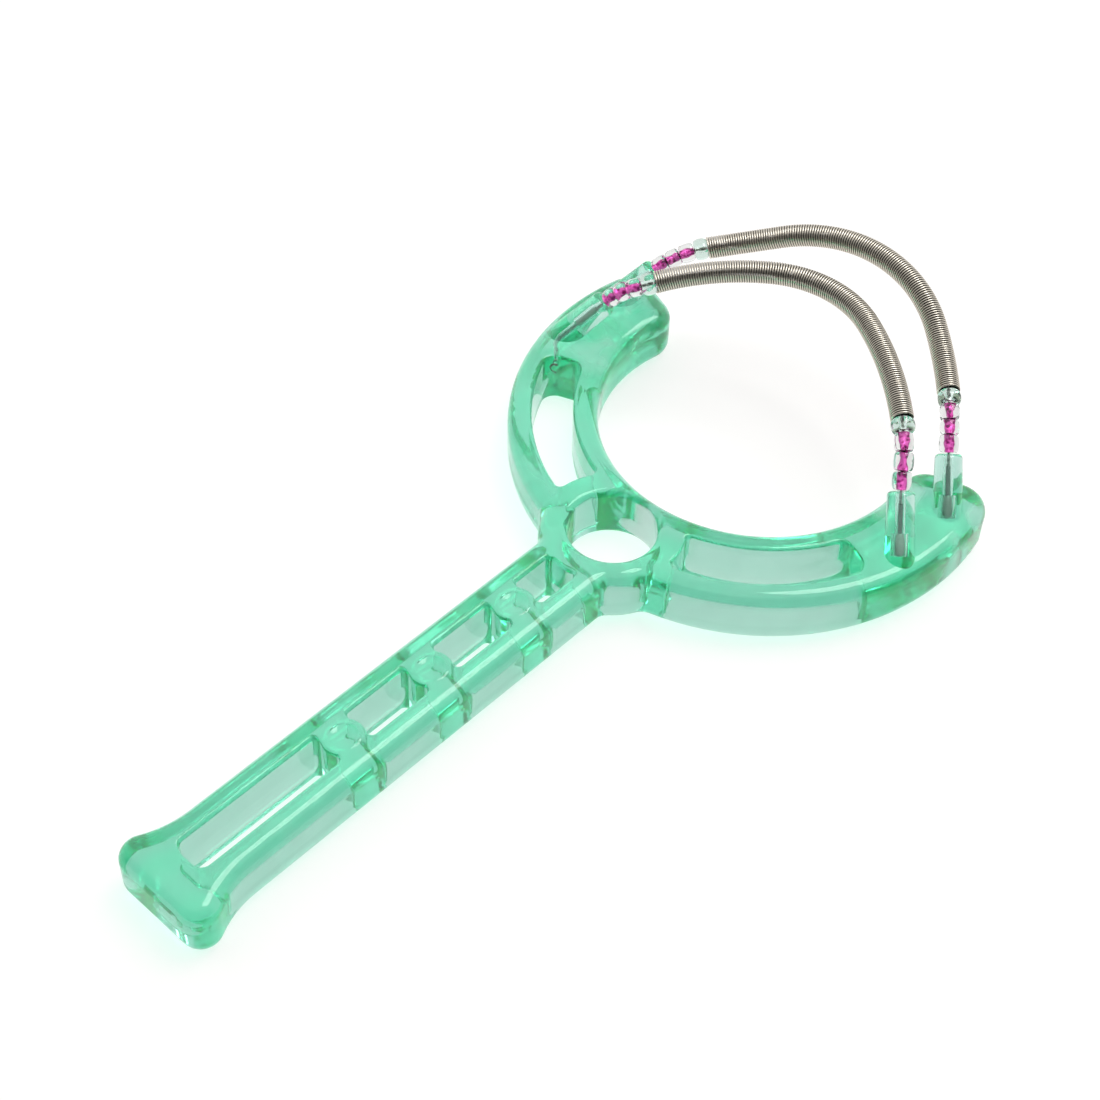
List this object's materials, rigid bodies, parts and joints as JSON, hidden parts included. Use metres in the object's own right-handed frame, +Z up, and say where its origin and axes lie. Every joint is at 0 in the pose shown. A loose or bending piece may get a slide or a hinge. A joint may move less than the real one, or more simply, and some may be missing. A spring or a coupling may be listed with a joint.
{
  "type": "facial hair removal spring",
  "caption": "Hand tool with a skeleton handle and an open round arm frame, whose ends carry close-wound coil springs bowed across the gap between clear beads.",
  "frame": {"origin": "centre of the hub hole, on its axis and half-way up the frame's thickness", "axes": "+Y from the handle to the open mouth, +X to the right arm's tip, +Z up from the table, along the hub hole's axis"},
  "size_m": [0.0926, 0.1802, 0.0319],
  "materials": {
    "frame_plastic": "clear mint-green moulded plastic, glossy",
    "spring_steel": "close-wound bright spring wire",
    "core_wire": "drawn wire, dull grey",
    "ferrule_steel": "thin crimped sleeve, satin grey",
    "stop_steel": "crimped end stop, dull dark grey",
    "end_bead_glass": "clear polished bead",
    "seed_bead_glass": "clear bead with a magenta lining in its hole"
  },
  "bodies": {
    "root": {"end_bead_far_left": "end_bead_glass", "end_bead_far_right": "end_bead_glass", "end_bead_near_left": "end_bead_glass", "end_bead_near_right": "end_bead_glass", "ferrule_far_left": "ferrule_steel", "ferrule_far_right": "ferrule_steel", "ferrule_near_left": "ferrule_steel", "ferrule_near_right": "ferrule_steel", "frame": "frame_plastic", "seed_bead_far_left_1": "seed_bead_glass", "seed_bead_far_left_2": "seed_bead_glass", "seed_bead_far_left_3": "seed_bead_glass", "seed_bead_far_right_1": "seed_bead_glass", "seed_bead_far_right_2": "seed_bead_glass", "seed_bead_far_right_3": "seed_bead_glass", "seed_bead_near_left_1": "seed_bead_glass", "seed_bead_near_left_2": "seed_bead_glass", "seed_bead_near_left_3": "seed_bead_glass", "seed_bead_near_right_1": "seed_bead_glass", "seed_bead_near_right_2": "seed_bead_glass", "seed_bead_near_right_3": "seed_bead_glass", "spring_far": "spring_steel", "spring_near": "spring_steel", "stop_far_left": "stop_steel", "stop_far_right": "stop_steel", "stop_near_right": "stop_steel", "wire_far": "core_wire", "wire_near": "core_wire"}
  },
  "joints": []
}
